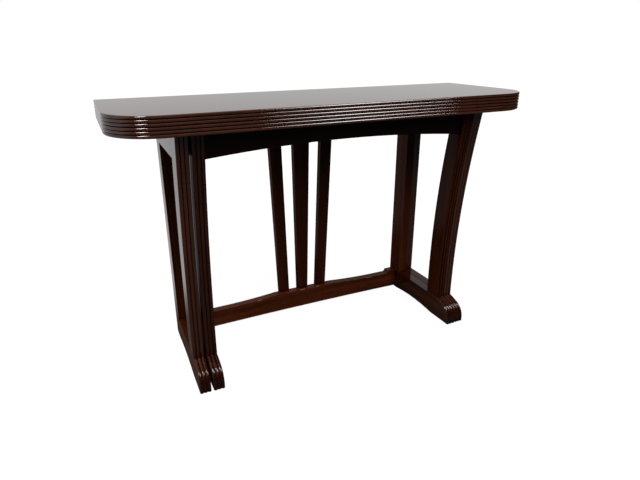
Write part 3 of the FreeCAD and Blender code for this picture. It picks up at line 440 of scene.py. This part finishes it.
def old_metal(name, colours, shift):
    """Brushed metal, dulled unevenly and brighter along its worn edges."""
    bright, dull = colours
    material, surface = new_material(name)
    metal = Grained(material.node_tree, "X", shift)
    brushed = metal.layer(BRUSHED)
    patina = metal.layer(PATINA)
    tone = metal.mix(metal.fade(patina, *PATINA_COVER), bright, dull)
    tone = metal.mix(metal.fade(brushed, *BRUSHED_COVER), tone, bright)
    worn = metal.sums("MULTIPLY", metal.worn_edges(*METAL_EDGE_WEAR), METAL_EDGE_COVER)
    metal.feed(metal.mix(worn, tone, bright), surface["Base Color"])
    surface["Metallic"].default_value = 1.0
    metal.feed(metal.fade(patina, *PATINA_ROUGHNESS), surface["Roughness"])
    metal.feed(metal.bump(brushed, *BRUSHED_BUMP), surface["Normal"])
    return material


# ---------------------------------------------------------------------------------------------------------
# Dressing
# ---------------------------------------------------------------------------------------------------------

TIMBER_STEP = (0.37, 1.13, 0.71)      # from one piece's place in the texture to the next piece's


def grain_of(piece):
    """The axis that a wooden piece's grain follows."""
    if "sled" in piece or "top_rail" in piece:
        return "Y"
    if "leg" in piece or "slat" in piece or "block" in piece:
        return "Z"
    return "X"


def finish_of(piece, slot, shift):
    """The material for a piece, by its slot in the record."""
    if slot.startswith("mahogany"):
        # The tone also carries the piece's painted light and shade.
        tone, polish = next(levels for word, levels in TONES_PAINTED_LIGHT_AND_POLISH.items() if word in piece)
        return polished_mahogany(piece, shift, tone, polish)
    if slot.startswith("secondary_wood"):
        return raw_wood(piece, shift)
    if slot.startswith("brass"):
        return old_metal("brass_" + piece, BRASS, shift)
    return old_metal("steel_" + piece, STEEL, shift)


def dress_nodes():
    """Gives every piece its finish, each wooden piece its own stretch of timber."""
    for number, piece in enumerate(sorted(nodes)):
        slots = nodes[piece].material_slots
        shift = tuple(step * number for step in TIMBER_STEP)
        finish = finish_of(piece, slots[0].material.name, shift)
        for slot in slots:
            slot.material = finish


# ---------------------------------------------------------------------------------------------------------
# Room
# ---------------------------------------------------------------------------------------------------------

BACKDROP_SIDE = Vector((-0.45, 0.89, 0.0))    # the way to the middle of the white backdrop
BACKDROP_START = (0.42, 0.80)                 # that way from the table, where the floor turns into it
BACKDROP_SIDES = (-0.10, 0.25)                # cosines of the angles from its middle, where it fades in
BACKDROP_LIGHT = 0.70                         # the light it gives to the sides that face it
BACKDROP_MIRRORED = 0.68                      # what polish and metal show of it
BACKDROP_FLOOR_LIGHT = 0.60                   # the same two levels for the floor that runs into it
BACKDROP_FLOOR_MIRRORED = 0.58
FLOOR_REACH = 30.0
FLOOR_GREY = (0.06, 0.06, 0.06)
FLOOR_ROUGHNESS = 0.9
FLOOR_LIFT = (0.94, 1.0)                      # what brings the floor up to white, near the table and away
FLOOR_LIFT_AREA = (0.7, 2.2)                  # where near ends and away begins
ROOM_DARK = 0.03
CEILING_START = (0.60, 0.95)                  # sines of the heights where the walls turn into the ceiling
CEILING_LEVEL = 1.0


def backdrop_level(shader, rays, light, mirrored_level):
    """The backdrop's strength as light on the table, and as what gloss, metal and glass show of it."""
    mirrored = shader.sums("MAXIMUM", rays.outputs["Is Glossy Ray"], rays.outputs["Is Transmission Ray"])
    return shader.sums("MULTIPLY_ADD", mirrored, mirrored_level - light, light)


def make_floor():
    """A pale floor that runs into a white backdrop behind the table and to its left."""
    mesh = bpy.data.meshes.new("floor")
    corners = [(-1, -1), (1, -1), (1, 1), (-1, 1)]
    mesh.from_pydata([(x * FLOOR_REACH, y * FLOOR_REACH, 0) for x, y in corners], [], [(0, 1, 2, 3)])
    floor = bpy.data.objects.new("floor", mesh)
    bpy.context.scene.collection.objects.link(floor)
    material, surface = new_material("pale_floor")
    shader = Shader(material.node_tree)
    surface["Base Color"].default_value = (*FLOOR_GREY, 1.0)
    surface["Roughness"].default_value = FLOOR_ROUGHNESS
    surface["Specular IOR Level"].default_value = 0.0
    surface["Emission Color"].default_value = (*WHITE, 1.0)
    ground = shader.node("TexCoord").outputs["Object"]
    distance = shader.node("VectorMath", operation="LENGTH")
    shader.feed(ground, distance.inputs[0])
    lift = shader.fade(distance.outputs["Value"], *FLOOR_LIFT_AREA, *FLOOR_LIFT)
    rays = shader.node("LightPath")
    seen = shader.sums("MULTIPLY", rays.outputs["Is Camera Ray"], lift)
    level = backdrop_level(shader, rays, BACKDROP_FLOOR_LIGHT, BACKDROP_FLOOR_MIRRORED)
    beyond = shader.fade(shader.along(ground, BACKDROP_SIDE), *BACKDROP_START)
    backdrop = shader.sums("MULTIPLY", beyond, level)
    shader.feed(shader.sums("MAXIMUM", seen, backdrop), surface["Emission Strength"])
    mesh.materials.append(material)


def make_world():
    """A white backdrop behind the table and to its left, a dim room on the other side, a white ceiling."""
    world = bpy.data.worlds.new("room")
    bpy.context.scene.world = world
    world.use_nodes = True
    shader = Shader(world.node_tree)
    direction = shader.node("TexCoord").outputs["Generated"]
    rays = shader.node("LightPath")
    level = backdrop_level(shader, rays, BACKDROP_LIGHT, BACKDROP_MIRRORED)
    behind = shader.fade(shader.along(direction, BACKDROP_SIDE), *BACKDROP_SIDES)
    wall = shader.sums("MAXIMUM", shader.sums("MULTIPLY", behind, level), ROOM_DARK)
    above = shader.fade(shader.along(direction, UP), *CEILING_START)
    below_ceiling = shader.sums("MULTIPLY", wall, shader.sums("SUBTRACT", 1.0, above))
    lit = shader.sums("MULTIPLY_ADD", above, CEILING_LEVEL, below_ceiling)
    seen = shader.sums("MAXIMUM", lit, rays.outputs["Is Camera Ray"])
    background = shader.tree.nodes["Background"]
    background.inputs["Color"].default_value = (*WHITE, 1.0)
    shader.feed(seen, background.inputs["Strength"])


# ---------------------------------------------------------------------------------------------------------
# Lamps
# ---------------------------------------------------------------------------------------------------------

CORNER_INSET = 0.05      # of the left lamp's aim, from the top's left end
FRONT_AIM = 0.10         # of the front lamps' aim, to the right of the middle
EDGE_HEIGHT = (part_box("top_leaf_lower")[0].z + table_high.z) / 2
LEFT_CORNER = Vector((table_low.x + CORNER_INSET, table_low.y, EDGE_HEIGHT))
FRONT_EDGE = Vector((FRONT_AIM, table_low.y, EDGE_HEIGHT))
TABLE_MIDDLE = (table_low + table_high) / 2


class Lamp(NamedTuple):
    """An area lamp, at a distance from the place that it is aimed at."""
    aim: Vector
    azimuth: float           # degrees from +Y towards +X
    elevation: float         # degrees
    distance: float
    size: tuple              # width and height
    brightness: float        # of its face, whatever its size
    mirrored: bool = True    # whether gloss and metal show it


LAMPS = {
    "left_lamp": Lamp(LEFT_CORNER, 238, 60, 2.6, (0.50, 1.1), 40.0),
    "right_lamp": Lamp(FRONT_EDGE, 134, 49, 3.05, (1.25, 1.2), 27.0),
    "front_fill": Lamp(FRONT_EDGE, 190, 36, 3.0, (1.60, 1.4), 9.0, mirrored=False),
    "left_fill": Lamp(TABLE_MIDDLE, 266.6, 14.8, 3.52, (2.0, 1.8), 7.5, mirrored=False),
}


def make_lamp(name, lamp):
    """One lamp of the table above; its power grows with its area, so that its face keeps its brightness."""
    data = bpy.data.lights.new(name, "AREA")
    data.shape = "RECTANGLE"
    data.size, data.size_y = lamp.size
    data.energy = math.pi * data.size * data.size_y * lamp.brightness
    turn, rise = math.radians(lamp.azimuth), math.radians(lamp.elevation)
    way = Vector((math.sin(turn) * math.cos(rise), math.cos(turn) * math.cos(rise), math.sin(rise)))
    made = bpy.data.objects.new(name, data)
    made.location = lamp.aim + way * lamp.distance
    made.rotation_mode = "QUATERNION"
    made.rotation_quaternion = (-way).to_track_quat("-Z", "Y")
    made.visible_glossy = lamp.mirrored
    bpy.context.scene.collection.objects.link(made)


make_camera()
dress_nodes()
make_floor()
make_world()
for name, lamp in LAMPS.items():
    make_lamp(name, lamp)

scene = bpy.context.scene
scene.view_settings.view_transform = "Standard"
